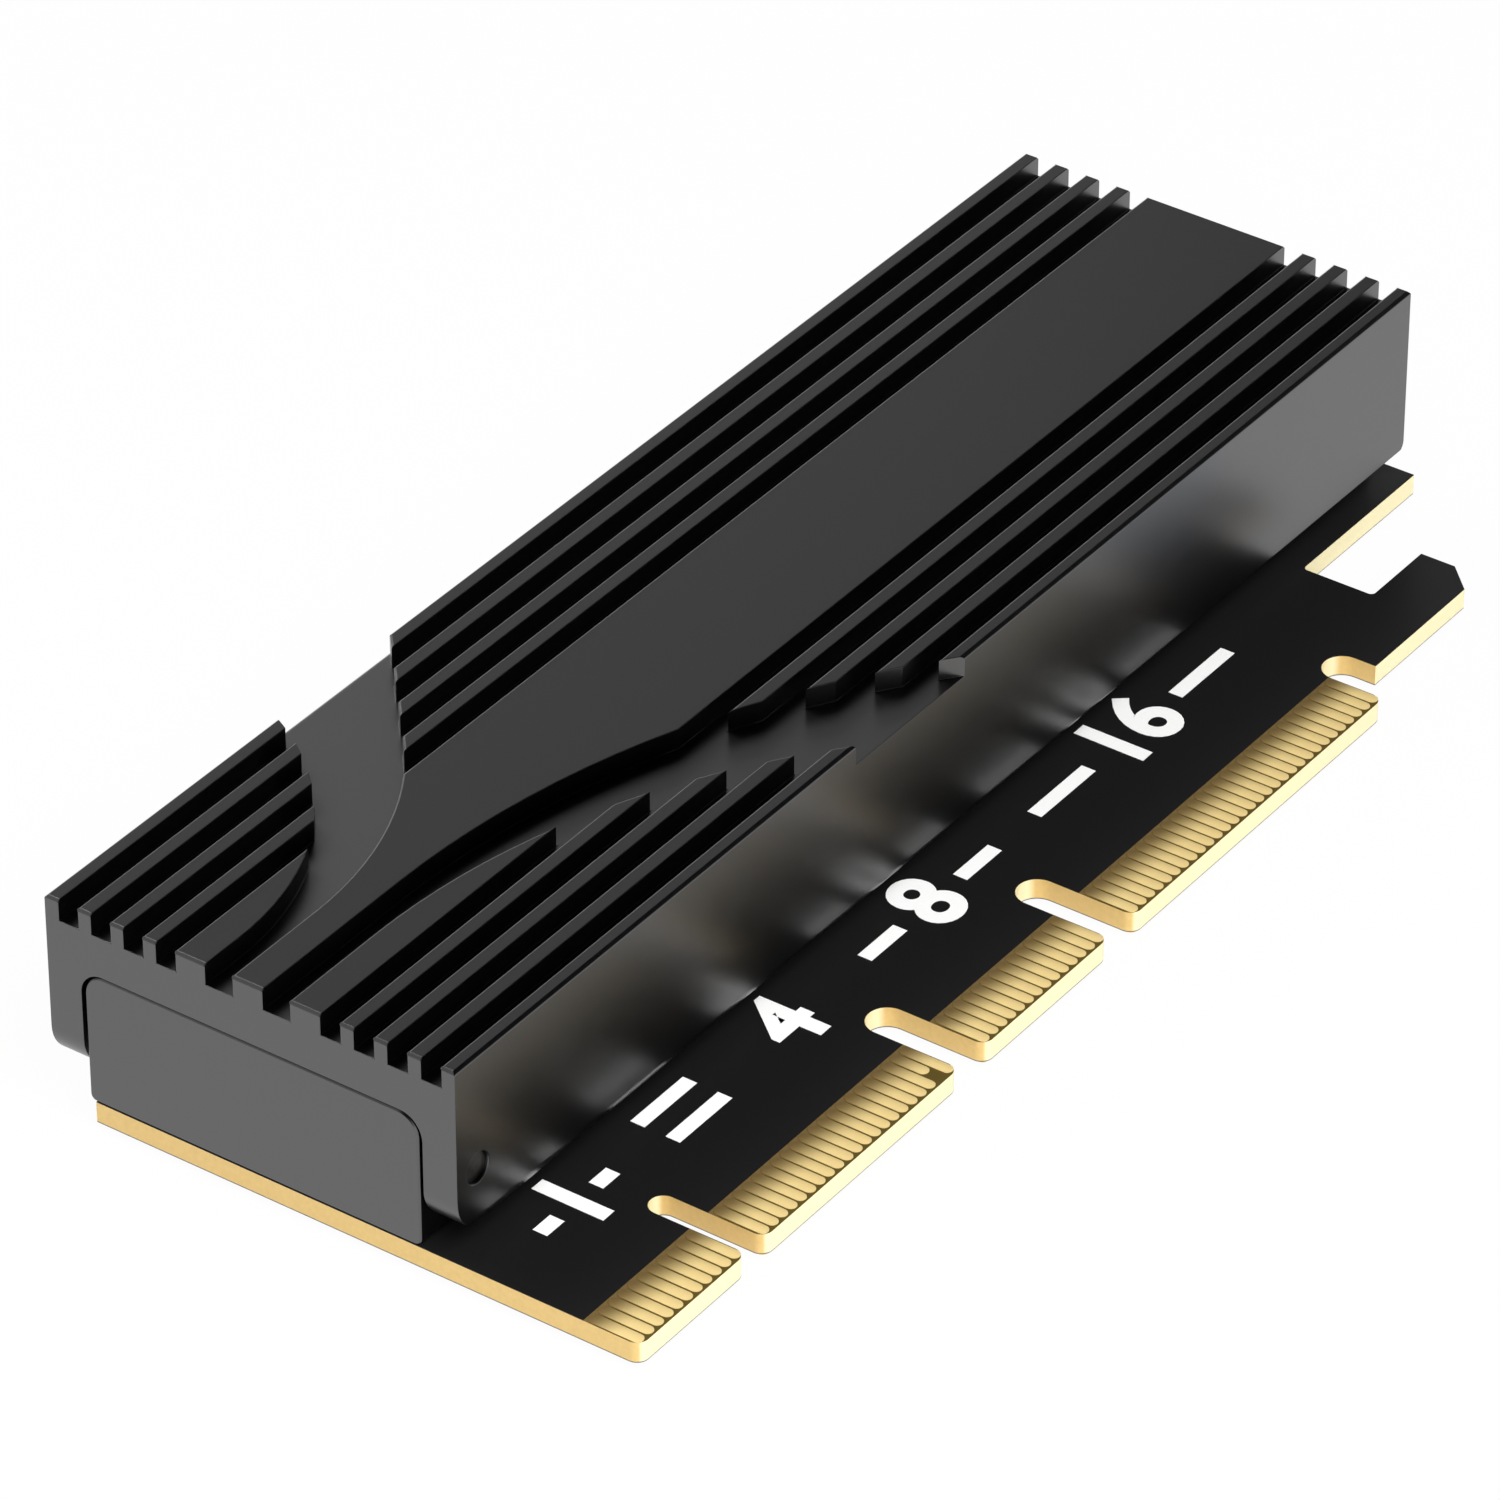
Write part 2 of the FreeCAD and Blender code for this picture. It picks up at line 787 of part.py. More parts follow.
def strip_paths():
    """The side view of one contact strip of each row, in the card's Y and Z."""
    back, front = "dims.socket_back", "(dims.socket_back - dims.socket_depth)"
    stock, roof, floor = "dims.strip_stock", "dims.mouth_high", "dims.mouth_low"
    riser = f"{back} - dims.upper_riser"
    root = f"{front} + dims.lower_riser"
    return {
        # solder tail behind the socket, up inside its back wall, along the mouth's roof
        "upper": [
            (f"{back} + dims.strip_tail", "0"),
            (f"{back} + dims.strip_tail", stock),
            (f"{riser} + {stock}", stock),
            (f"{riser} + {stock}", f"{roof} + {stock}"),
            (f"{front} + dims.upper_beam_start", f"{roof} + {stock}"),
            (f"{front} + dims.upper_beam_start", roof),
            (riser, roof),
            (riser, "0"),
        ],
        # solder tail under the mouth, up into the block, back along the mouth's floor
        "lower": [
            (f"{front} + dims.lower_tail_start", "0"),
            (f"{root} + {stock}", "0"),
            (f"{root} + {stock}", f"{floor} - {stock}"),
            (f"{front} + dims.lower_beam_end", f"{floor} - {stock}"),
            (f"{front} + dims.lower_beam_end", floor),
            (root, floor),
            (root, stock),
            (f"{front} + dims.lower_tail_start", stock),
        ],
    }


def make_socket():
    """Socket housing, with a recess for each run of strips, and the strips in it."""
    back, front = "dims.socket_back", "(dims.socket_back - dims.socket_depth)"
    housing = Piece("m2_socket_housing", rise=BOARD_TOP, across="dims.sink_centre")
    profile = housing.sketch("YZ")
    outline(
        profile,
        [
            (f"{front} + dims.socket_lip", "0"),
            (back, "0"),
            (back, "dims.socket_height"),
            (front, "dims.socket_height"),
            (front, "dims.mouth_high"),
            (f"{front} + dims.mouth_bevel", "dims.mouth_low"),
            (f"{front} + dims.socket_lip", "dims.mouth_low - dims.mouth_bevel"),
        ],
    )
    housing.pad(profile, "dims.socket_width", Midplane=True)
    mouth = housing.sketch("XZ", f"-{front}")
    wide, low, high = "dims.mouth_width / 2", "dims.mouth_low", "dims.mouth_high"
    key_left = "dims.key_centre - dims.key_width / 2"
    rectangle(mouth, f"-{wide}", key_left, low, high)
    rectangle(mouth, f"{key_left} + dims.key_width", wide, low, high)
    housing.pocket(mouth, "dims.mouth_depth")
    pegs = housing.sketch()
    for side in "-+":
        circle(
            pegs,
            f"{side}dims.peg_spread / 2",
            "dims.socket_back - dims.peg_inset",
            "dims.peg_diameter",
        )
    housing.pad(pegs, "dims.peg_length", Reversed=True)

    paths = strip_paths()
    for row, (start, runs) in SOCKET_ROWS.items():
        strips = Piece(
            f"socket_contacts_{row}", rise=BOARD_TOP, across="dims.sink_centre"
        )
        for first, number in runs:
            place = f"{start} + {first} * dims.strip_pitch"
            side_view = strips.sketch("YZ", place)
            outline(side_view, paths[row])
            made = strips.pad(side_view, "dims.strip_width", Midplane=True)
            strips.repeat(made, "dims.strip_pitch", number, axis="X_Axis")

            recess = housing.sketch("YZ", f"{place} - dims.strip_pitch / 2")
            outline(recess, paths[row])
            housing.pocket(recess, f"{number} * dims.strip_pitch", Reversed=True)

    lugs = []
    for side in (-1, 1):
        lug = doc.addObject("Part::Box", f"socket_lug_{len(lugs) + 1}")
        lug.setExpression("Length", "dims.lug_width")
        lug.setExpression("Width", "dims.lug_depth")
        lug.setExpression("Height", "dims.lug_height")
        middle = f"{side} * (dims.socket_width - dims.lug_width) / 2"
        lug.setExpression(
            "Placement.Base.x", f"dims.sink_centre + {middle} - dims.lug_width / 2"
        )
        lug.setExpression("Placement.Base.y", "dims.socket_back")
        lug.setExpression("Placement.Base.z", BOARD_TOP)
        lugs.append(lug)
    compound("socket_solder_lugs", lugs)


# ------------------------------------------------------- small parts on the board


def make_chips(label, sizes, start, row_place, number=1, pitch="0"):
    """A row of surface-mounted chips across the board, inside the near end wall."""
    width, length, height = sizes
    chips = []
    for i in range(number):
        chip = doc.addObject("Part::Box", f"{label}_{i + 1}")
        chip.setExpression("Length", width)
        chip.setExpression("Width", length)
        chip.setExpression("Height", height)
        chip.setExpression(
            "Placement.Base.x",
            f"dims.sink_centre + {start} + {i} * {pitch} - {width} / 2",
        )
        chip.setExpression(
            "Placement.Base.y", f"{NEAR} + dims.end_wall + {row_place} - {length} / 2"
        )
        chip.setExpression("Placement.Base.z", BOARD_TOP)
        chips.append(chip)
    compound(label, chips)


make_board()
make_contacts()
make_cover()
make_core()
make_cover_pins()
make_thermal_pad()
make_screw(
    "core_screws",
    SCREW_PLACES,
    "dims.head_diameter",
    "dims.head_height",
    "dims.board_thickness + dims.screw_depth",
    upwards=True,
)
SUPPORT = [("dims.sink_centre", support_place(DRIVE_LENGTHS[0]))]
make_screw(
    "support_screw",
    SUPPORT,
    "dims.head_diameter",
    "dims.head_height",
    "dims.support_screw_depth",
    upwards=True,
)
make_screw(
    "drive_screw",
    SUPPORT,
    "dims.drive_screw_head",
    "dims.drive_screw_rise",
    "dims.drive_screw_depth",
    upwards=False,
)
make_support()
make_socket()
make_chips(
    "bulk_capacitors",
    ("dims.bulk_width", "dims.bulk_length", "dims.bulk_height"),
    "dims.bulk_start",
    "dims.bulk_row",
    number=4,
    pitch="dims.bulk_pitch",
)
make_chips(
    "small_capacitors",
    ("dims.chip_width", "dims.chip_length", "dims.chip_height"),
    "dims.chip_start",
    "dims.chip_row",
    number=5,
    pitch="dims.chip_pitch",
)
make_chips(
    "resistors",
    ("dims.chip_width", "dims.chip_length", "dims.resistor_height"),
    "dims.chip_start",
    "dims.resistor_row",
    number=3,
    pitch="dims.chip_pitch",
)
make_chips(
    "status_led",
    ("dims.lamp_width", "dims.lamp_length", "dims.lamp_height"),
    "dims.lamp_start",
    "dims.lamp_row",
)

doc.recompute()

# --------------------------------------------------------------- checks and export

for item in doc.Objects:
    if "Invalid" in item.State or "Error" in item.State:
        raise RuntimeError(f"{item.Name}: {item.State}")
for node in nodes:
    shape = node.Shape
    if shape.isNull() or not shape.isValid() or not shape.Solids:
        raise RuntimeError(f"{node.Label} has no valid solid")

os.makedirs("parts", exist_ok=True)
for node in nodes:
    node.Shape.exportStep(f"parts/{node.Label}.step")
    print(node.Label, len(node.Shape.Solids), round(node.Shape.Volume, 2))
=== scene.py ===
"""Looks of an NVMe adapter card: black anodised heatsink on a gold-edged circuit board.

The card's solids come from the frame. Each visible one gets softened edges and a
finish of its own. Lengths are written in millimetres and built in metres.
"""

import math

import bmesh
import bpy
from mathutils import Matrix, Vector


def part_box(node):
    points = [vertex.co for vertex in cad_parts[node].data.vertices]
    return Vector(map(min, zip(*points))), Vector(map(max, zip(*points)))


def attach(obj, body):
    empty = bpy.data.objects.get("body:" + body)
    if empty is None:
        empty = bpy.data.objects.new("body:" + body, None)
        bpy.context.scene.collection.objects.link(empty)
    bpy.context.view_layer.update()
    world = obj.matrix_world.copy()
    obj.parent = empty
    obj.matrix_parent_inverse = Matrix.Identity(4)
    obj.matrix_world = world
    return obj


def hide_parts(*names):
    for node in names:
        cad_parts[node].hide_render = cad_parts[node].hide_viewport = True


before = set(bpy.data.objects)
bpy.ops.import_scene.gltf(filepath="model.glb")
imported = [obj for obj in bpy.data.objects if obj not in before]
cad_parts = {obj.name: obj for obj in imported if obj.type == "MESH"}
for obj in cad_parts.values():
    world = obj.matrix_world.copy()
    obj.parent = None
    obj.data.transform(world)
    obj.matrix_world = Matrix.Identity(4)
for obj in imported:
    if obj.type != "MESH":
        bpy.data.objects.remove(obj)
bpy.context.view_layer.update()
MM = 0.001
# The signs of a rectangle's corners, in order around it.
CORNERS = ((-1, -1), (1, -1), (1, 1), (-1, 1))


def in_mm(node):
    """The lowest and highest corner of a solid, in millimetres."""
    return tuple(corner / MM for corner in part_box(node))


# ------------------------------------------------- places on the card, in millimetres

BOARD_FOOT, BOARD_TOP = (corner.z for corner in in_mm("circuit_board"))
PIN = sum(in_mm("cover_pins"), Vector()) / 2
# Where the solder mask gives way to the contacts, and where their tongue stops.
MASK_EDGE = 18.36
TONGUE_STOP = 31.0
# Heights of the floors milled across the fins, and of the solid metal under the fins.
CHANNEL_FLOOR = 15.2
FIN_FOOT = 13.0
# The reach of the solid legs' rounded ends, and by how much each end's rounding grows.
FOOT_ROUND = 1.51
NEAR_FOOT, FAR_FOOT = 1.95, 0.6
# Above these heights, and up to these places along Y, the cover's side gets a painted
# cool tint that cancels the gold contacts' brown reflection.
PAINTED_TINT_HEIGHT = (8.0, 11.5)
PAINTED_TINT_LENGTH = (26.0, 34.0)
# From left to right between these places the painted light on the channels' floors fades.
FLOOR_DARKENS = (-12.0, 0.0)

# Parts of a surface's direction: it faces that way above one, and slants above the other.
FACING = 0.9
SLANTED = 0.3

# ------------------------------------------------------------------ finishes

COVER_SHADE = (0.134, 0.1345, 0.136)
# A painted cool tint for the side over the contacts, which cancels the gold's brown
# reflection.
SIDE_PAINTED_TINT = (0.128, 0.133, 0.143)
CORE_SHADE = (0.135, 0.135, 0.137)
# By how much a dyed shade varies to each side, and how much lighter the painted light
# makes the channels' floors on the left and on the right.
UNEVEN = 0.08
FLOOR_PAINTED_LIGHT = (1.8, 1.5)
SATIN = 0.33


def scaled(colour, factor):
    """A colour made darker or lighter."""
    return [part * factor for part in colour]


class Level:
    """A value that changes over a surface. Arithmetic on it adds Math nodes."""

    def __init__(self, wiring, link):
        self.wiring = wiring
        self.link = link

    def maths(self, operation, *values):
        return self.wiring.node(
            "Math", {"operation": operation}, dict(enumerate(values))
        )

    def __add__(self, other):
        return self.maths("ADD", self, other)

    def __radd__(self, other):
        return self.maths("ADD", other, self)

    def __sub__(self, other):
        return self.maths("SUBTRACT", self, other)

    def __rsub__(self, other):
        return self.maths("SUBTRACT", other, self)

    def __mul__(self, other):
        return self.maths("MULTIPLY", self, other)

    def __rmul__(self, other):
        return self.maths("MULTIPLY", other, self)

    def __truediv__(self, other):
        return self.maths("DIVIDE", self, other)

    def __gt__(self, other):
        return self.maths("GREATER_THAN", self, other)

    def __lt__(self, other):
        return self.maths("LESS_THAN", self, other)

    def size(self):
        return self.maths("ABSOLUTE", self)

    def larger(self, other):
        return self.maths("MAXIMUM", self, other)

    def ramp(self, low, high):
        """0 below one value and 1 above the other, smooth in between."""
        return self.wiring.node(
            "MapRange",
            {"interpolation_type": "SMOOTHSTEP"},
            {"Value": self, "From Min": low, "From Max": high},
        )


class Wiring:
    """The nodes of a material or of the world."""

    def __init__(self, tree):
        self.tree = tree

    def feed(self, socket, value):
        if isinstance(value, Level):
            self.tree.links.new(value.link, socket)
        elif socket.type == "RGBA":
            socket.default_value = (*value[:3], 1.0)
        else:
            socket.default_value = value

    def node(self, kind, settings=(), inputs=(), output=0):
        made = self.tree.nodes.new("ShaderNode" + kind)
        for name, value in dict(settings).items():
            setattr(made, name, value)
        for name, value in dict(inputs).items():
            self.feed(made.inputs[name], value)
        return Level(self, made.outputs[output])


class Finish(Wiring):
    """A material with one Principled shader, and the nodes that vary it."""

    def __init__(self, name, **constants):
        self.material = bpy.data.materials.new(name)
        self.material.use_nodes = True
        super().__init__(self.material.node_tree)
        self.shader = self.tree.nodes["Principled BSDF"]
        for socket, value in constants.items():
            self.vary(socket.replace("_", " "), value)

    def vary(self, socket, value):
        self.feed(self.shader.inputs[socket], value)

    def place(self):
        """The place on the piece, in millimetres along X, Y and Z."""
        spot = self.node("TexCoord", output="Object")
        parts = [self.node("SeparateXYZ", (), {0: spot}, axis) for axis in range(3)]
        return [part / MM for part in parts]

    def facing(self):
        """The X, Y and Z parts of the surface's direction."""
        normal = self.node("NewGeometry", output="Normal")
        return [self.node("SeparateXYZ", (), {0: normal}, axis) for axis in range(3)]

    def grain(self, size, detail=2.0, roughness=0.5, stretch=(1, 1, 1)):
        """Noise from 0 to 1 whose spots are about one size, in millimetres."""
        spot = self.node("TexCoord", output="Object")
        stretched = self.node(
            "Mapping", {"vector_type": "POINT"}, {"Vector": spot, "Scale": stretch}
        )
        return self.node(
            "TexNoise",
            (),
            {
                "Vector": stretched,
                "Scale": 1 / (size * MM),
                "Detail": detail,
                "Roughness": roughness,
            },
        )

    def blend(self, share, first, second):
        """A colour that goes from the first to the second."""
        return self.node(
            "Mix",
            {"data_type": "RGBA"},
            {0: share, 6: first, 7: second},
            output=2,
        )

    def relief(self, height, depth):
        """Bumps of a depth in millimetres."""
        bump = self.node("Bump", (), {"Height": height, "Distance": depth * MM})
        self.vary("Normal", bump)


def anodised(name, shade, machined, milled=None):
    """Black anodised aluminium, blasted to a fine satin, with faint tool lines.

    On the cover the channels' floors, milled at one height, get painted light that is
    strongest on the left, and the side is a little smoother, with a painted cool tint
    over the contacts that cancels the gold's brown reflection.
    """
    metal = Finish(name, Metallic=1.0)
    cloud = metal.grain(14.0, detail=3.0)
    fine = metal.grain(0.16, detail=3.0, roughness=0.65)
    lines = metal.grain(0.5, detail=4.0, stretch=machined)

    def dyed(colour):
        darker, lighter = scaled(colour, 1 - UNEVEN), scaled(colour, 1 + UNEVEN)
        return metal.blend(0.44 + cloud * 0.12, darker, lighter)

    dye = dyed(shade)
    roughness = SATIN
    if milled is not None:
        x, y, z = metal.place()
        right, _, up = metal.facing()
        side = right > FACING
        # Painted tint: a cooler dye on the side over the contacts cancels their brown
        # reflection.
        painted_tint_share = z.ramp(*PAINTED_TINT_HEIGHT) * (1 - y.ramp(*PAINTED_TINT_LENGTH))
        roughness = roughness - side * 0.02
        dye = metal.blend(side * painted_tint_share, dye, dyed(SIDE_PAINTED_TINT))
        # Painted light: the channels' floors are lighter, most on the left.
        floor = (z > milled - 0.1) * (z < milled + 0.1) * (up > FACING)
        on_left, on_right = (scaled(shade, factor) for factor in FLOOR_PAINTED_LIGHT)
        painted_floor_light = metal.blend(x.ramp(*FLOOR_DARKENS), on_left, on_right)
        dye = metal.blend(floor, dye, painted_floor_light)
    metal.vary("Base Color", dye)
    metal.vary("Roughness", roughness + (fine - 0.5) * 0.08 + (lines - 0.5) * 0.06)
    metal.relief(fine + lines * 0.4, 0.0022)
    return metal.material


def board_finish():
    """Black solder mask, bare laminate between the contacts, amber routed edges, with
    painted light making the right-facing edges paler and a painted shade line along the
    bottom of the edges.
    """
    board = Finish("board_black_mask")
    x, y, z = board.place()
    right, _, up = board.facing()
    flat = up.size() > 0.25
    tongue = (x > MASK_EDGE) * (y < TONGUE_STOP)
    weave = board.grain(0.35, detail=2.0)
    inner = x.ramp(MASK_EDGE + 0.1, MASK_EDGE + 1.3)
    laminate = board.blend(inner, (0.19, 0.125, 0.045), (0.110, 0.075, 0.014))
    mask = board.blend(weave, (0.0084, 0.0084, 0.0086), (0.0104, 0.0104, 0.0106))
    # Painted light: edges that face right are paler, as if lit.
    ground = right.ramp(0.6, 0.9)
    routed = board.blend(weave, (0.70, 0.48, 0.17), (0.82, 0.575, 0.22))
    lit_edge_colour = board.blend(weave, (0.93, 0.84, 0.50), (0.97, 0.89, 0.56))
    cut = board.blend(ground, routed, lit_edge_colour)
    # Painted shade: a dark line along the bottom of the routed edges.
    painted_bottom_shade = 1 - z.ramp(BOARD_FOOT + 0.06, BOARD_FOOT + 0.14)
    edge = board.blend(painted_bottom_shade, cut, (0.10, 0.10, 0.12))
    face = board.blend(tongue, mask, laminate)
    board.vary("Base Color", board.blend(flat, edge, face))
    board.vary("Metallic", (1 - flat) * 0.2 + flat * tongue * 0.2)
    board.vary("Roughness", 0.45 - flat * 0.1 + (weave - 0.5) * 0.06)
    fibres = board.grain(0.12, detail=2.0, stretch=(1, 1, 3))
    board.relief(fibres * (1 - flat) + weave * 0.25, 0.003)
    return board.material


def gilt():
    """Hard gold plating, satin rather than polished, with a painted reflection of the
    dark heatsink that makes it browner towards the mask.
    """
    gold = Finish("hard_gold")
    x, _, _ = gold.place()
    scratches = gold.grain(0.09, detail=3.0, stretch=(0.12, 1, 1))
    cloud = gold.grain(0.8, detail=2.0)
    plain_gold = gold.blend(cloud, (0.97, 0.72, 0.30), (1.0, 0.78, 0.35))
    # Painted reflection of the dark heatsink side: the contacts are browner towards the
    # mask.
    painted_dark_reflection = gold.blend(cloud, (0.23, 0.155, 0.055), (0.28, 0.185, 0.068))
    outwards = x.ramp(MASK_EDGE + 0.3, MASK_EDGE + 2.8)
    gold.vary("Base Color", gold.blend(outwards, painted_dark_reflection, plain_gold))
    gold.vary("Metallic", 0.30 + cloud * 0.1)
    gold.vary("Roughness", 0.30 + scratches * 0.1)
    gold.relief(scratches, 0.0006)
    return gold.material


def print_ink():
    ink = Finish("white_board_print")
    cloud = ink.grain(0.2)
    ink.vary("Base Color", ink.blend(cloud, (0.90, 0.90, 0.89), (0.96, 0.96, 0.95)))
    ink.vary("Roughness", 0.55 + cloud * 0.15)
    ink.relief(cloud, 0.003)
    return ink.material


def plain_metal(name, dark, light, roughness, size=0.2):
    """Bare or plated metal with a fine turned grain."""
    metal = Finish(name, Metallic=1.0)
    grain = metal.grain(size, detail=3.0)
    metal.vary("Base Color", metal.blend(grain, dark, light))
    metal.vary("Roughness", roughness + (grain - 0.5) * 0.12)
    metal.relief(grain, 0.0015)
    return metal.material


def moulded(name, dark, light, roughness, size=0.25):
    """Plastic or ceramic with a fine moulded texture."""
    plastic = Finish(name)
    grain = plastic.grain(size, detail=2.0)
    plastic.vary("Base Color", plastic.blend(grain, dark, light))
    plastic.vary("Roughness", roughness + (grain - 0.5) * 0.1)
    plastic.relief(grain, 0.004)
    return plastic.material


# -------------------------------------------------------------------- pieces


def add_piece(name, mesh, slot, finish, *nodes):
    """Put a mesh in the scene as a piece of the card that stands for some solids."""
    piece = bpy.data.objects.new(name, mesh)
    bpy.context.scene.collection.objects.link(piece)
    mesh.materials.clear()
    mesh.materials.append(finish)
    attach(piece, "root")
    if nodes:
        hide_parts(*nodes)
    return piece


# Edges within this reach of the pins are their bore's, and are rounded by this share.
PIN_REACH = 1.3
PIN_ROUND = 0.5
# Facets that meet below one angle are joined, and edges above the other are sharp.
FLAT_ANGLE = math.radians(0.3)
SHARP_ANGLE = math.radians(30)


def roundness(edge, plain):
    """The share of the widest rounding that an edge of the cover gets.

    The left of each top face and the fins' near left corners are worn the most, and
    the near end is also eased under the arch.
    """
    middle = (edge.verts[0].co + edge.verts[1].co) / 2 / MM
    if abs(middle.y - PIN.y) < PIN_REACH and abs(middle.z - PIN.z) < PIN_REACH:
        return PIN_ROUND
    first, second = (face.normal for face in edge.link_faces)
    for one, other in ((first, second), (second, first)):
        if one.z > FACING and other.x < -SLANTED and abs(other.z) < SLANTED:
            return 1.0
        if one.y < -FACING and other.x < -FACING and middle.z > FIN_FOOT:
            return 1.0
        if one.y < -FACING and other.z < -SLANTED:
            return max(plain, -other.z)
    return plain


def rounder_feet(mesh, low, high):
    """Round the legs more than the solid does at the near end, and less at the far."""
    for vertex in mesh.vertices:
        place = vertex.co / MM
        rise = place.z - low.z
        end, growth = (low.y, NEAR_FOOT) if place.y < 0 else (high.y, FAR_FOOT)
        if rise < FOOT_ROUND and abs(place.y - end) < FOOT_ROUND:
            vertex.co.y = (end + (place.y - end) * growth) * MM
            vertex.co.z = (low.z + rise * growth) * MM


def softened(node, name, slot, finish, edge, segments=2, worn=None):
    """A solid with its facets joined, its curves smooth and its sharp edges eased.

    A worn width, for the cover, is that of its roundest edges.
    """
    shape = bmesh.new()
    shape.from_mesh(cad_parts[node].data)
    bmesh.ops.remove_doubles(shape, verts=shape.verts, dist=0.001 * MM)
    bmesh.ops.dissolve_limit(
        shape,
        angle_limit=FLAT_ANGLE,
        verts=shape.verts,
        edges=shape.edges,
    )
    bare = bpy.data.meshes.new(name)
    bare.from_pydata(
        [vertex.co.copy() for vertex in shape.verts],
        [],
        [[v.index for v in face.verts] for face in shape.faces],
    )
    shape.free()
    width = worn or edge
    if worn:
        rounder_feet(bare, *in_mm(node))
    weigh_edges(bare, edge / width, worn)
    bare.shade_smooth()
    bare.set_sharp_from_angle(angle=SHARP_ANGLE)
    piece = add_piece(name, bare, slot, finish, node)
    ease = piece.modifiers.new("eased edges", "BEVEL")
    ease.width = width * MM
    ease.segments = segments
    ease.limit_method = "WEIGHT"
    ease.use_clamp_overlap = False
    ease.harden_normals = True


def weigh_edges(mesh, plain, worn):
    """Give each sharp edge its share of the widest rounding."""
    shape = bmesh.new()
    shape.from_mesh(mesh)
    weight = shape.edges.layers.float.new("bevel_weight_edge")
    for edge in shape.edges:
        if len(edge.link_faces) != 2 or edge.calc_face_angle() < SHARP_ANGLE:
            continue
        outer = edge.calc_face_angle_signed() > 0
        edge[weight] = roundness(edge, plain) if worn and outer else plain
    shape.to_mesh(mesh)
    shape.free()


def mesh_of(name, corners, faces):
    mesh = bpy.data.meshes.new(name)
    mesh.from_pydata([Vector(c) * MM for c in corners], [], faces)
    mesh.update()
    return mesh


# Edge contacts of each tab, counted along the connector from the rear-panel end.
TABS = [(1, 11), (12, 32), (36, 49), (53, 82)]
CONTACT_PITCH = 1.0
KEY_SHIFT = 2.0
CONTACT_WIDTH = 0.84
CONTACT_HEIGHT = 0.05
CONTACT_START = MASK_EDGE + 0.12
# By how much the one short contact of each face falls short of the others.
SHORTFALL = 1.15
END_STEPS = 8
# How far each ring lies inside the outline, and its share of a contact's height.
CROWN = ((0.0, 0.0), (0.0, 0.75), (0.03, 1.0))
CROWN_ANGLE = math.radians(50)


def contact_outline(left, right, inset):
    """The round-ended outline of one contact about its middle line."""
    radius = CONTACT_WIDTH / 2
    reach = radius - inset
    points = []
    for centre, start in ((right - radius, -90), (left + radius, 90)):
        for step in range(END_STEPS + 1):
            angle = math.radians(start + 180 * step / END_STEPS)
            points.append(
                (centre + reach * math.cos(angle), reach * math.sin(angle))
            )
    return points


def gold_contacts(node, name, outwards, short_place):
    """Plated contacts on one face of the tongue, with rounded ends and crowned tops."""
    low, high = in_mm(node)
    face = low.z if outwards > 0 else high.z
    first = low.y + CONTACT_WIDTH / 2
    corners, faces = [], []
    for tab_first, tab_last in TABS:
        for place in range(tab_first, tab_last + 1):
            middle = first + (place - 1) * CONTACT_PITCH
            if place > TABS[0][1]:
                middle += KEY_SHIFT
            right = high.x - (SHORTFALL if place == short_place else 0.0)
            base = len(corners)
            for inset, rise in CROWN:
                for x, y in contact_outline(CONTACT_START, right, inset):
                    z = face + outwards * CONTACT_HEIGHT * rise
                    corners.append((x, middle + y, z))
            count = 2 * (END_STEPS + 1)
            for ring in range(len(CROWN) - 1):
                for i in range(count):
                    a = base + ring * count + i
                    b = base + ring * count + (i + 1) % count
                    quad = [a, b, b + count, a + count]
                    faces.append(quad if outwards > 0 else quad[::-1])
            cap = [base + (len(CROWN) - 1) * count + i for i in range(count)]
            foot = [base + i for i in range(count)]
            faces.append(cap if outwards > 0 else cap[::-1])
            faces.append(foot[::-1] if outwards > 0 else foot)
    mesh = mesh_of(name, corners, faces)
    mesh.shade_smooth()
    mesh.set_sharp_from_angle(angle=CROWN_ANGLE)
    add_piece(name, mesh, "gold", gilt_finish, node)


# ------------------------------------------------------------- dressing the card

gilt_finish = gilt()
cover_finish = anodised(
    "cover_black_anodised", COVER_SHADE, (6, 0.2, 1), milled=CHANNEL_FLOOR
)
core_finish = anodised("core_black_anodised", CORE_SHADE, (1, 6, 0.2))
pin_finish = plain_metal("pin_blackened", (0.10, 0.10, 0.10), (0.16, 0.16, 0.16), 0.3)
steel_finish = plain_metal("screw_zinc", (0.45, 0.45, 0.47), (0.62, 0.62, 0.64), 0.28)
brass_finish = plain_metal("support_brass", (0.62, 0.44, 0.18), (0.80, 0.60, 0.28), 0.3)
tin_finish = plain_metal("tinned_leads", (0.60, 0.60, 0.60), (0.76, 0.76, 0.75), 0.3)
pad_finish = moulded("thermal_pad_grey", (0.17, 0.19, 0.22), (0.23, 0.25, 0.28), 0.8)
socket_finish = moulded("socket_black", (0.010, 0.010, 0.010), (0.02, 0.02, 0.02), 0.5)
ceramic_finish = moulded("chip_ceramic", (0.28, 0.20, 0.12), (0.36, 0.27, 0.17), 0.5)
resistor_finish = moulded("chip_black", (0.015, 0.015, 0.015), (0.03, 0.03, 0.03), 0.4)
lens_finish = moulded("lamp_lens", (0.80, 0.82, 0.76), (0.88, 0.90, 0.85), 0.25)

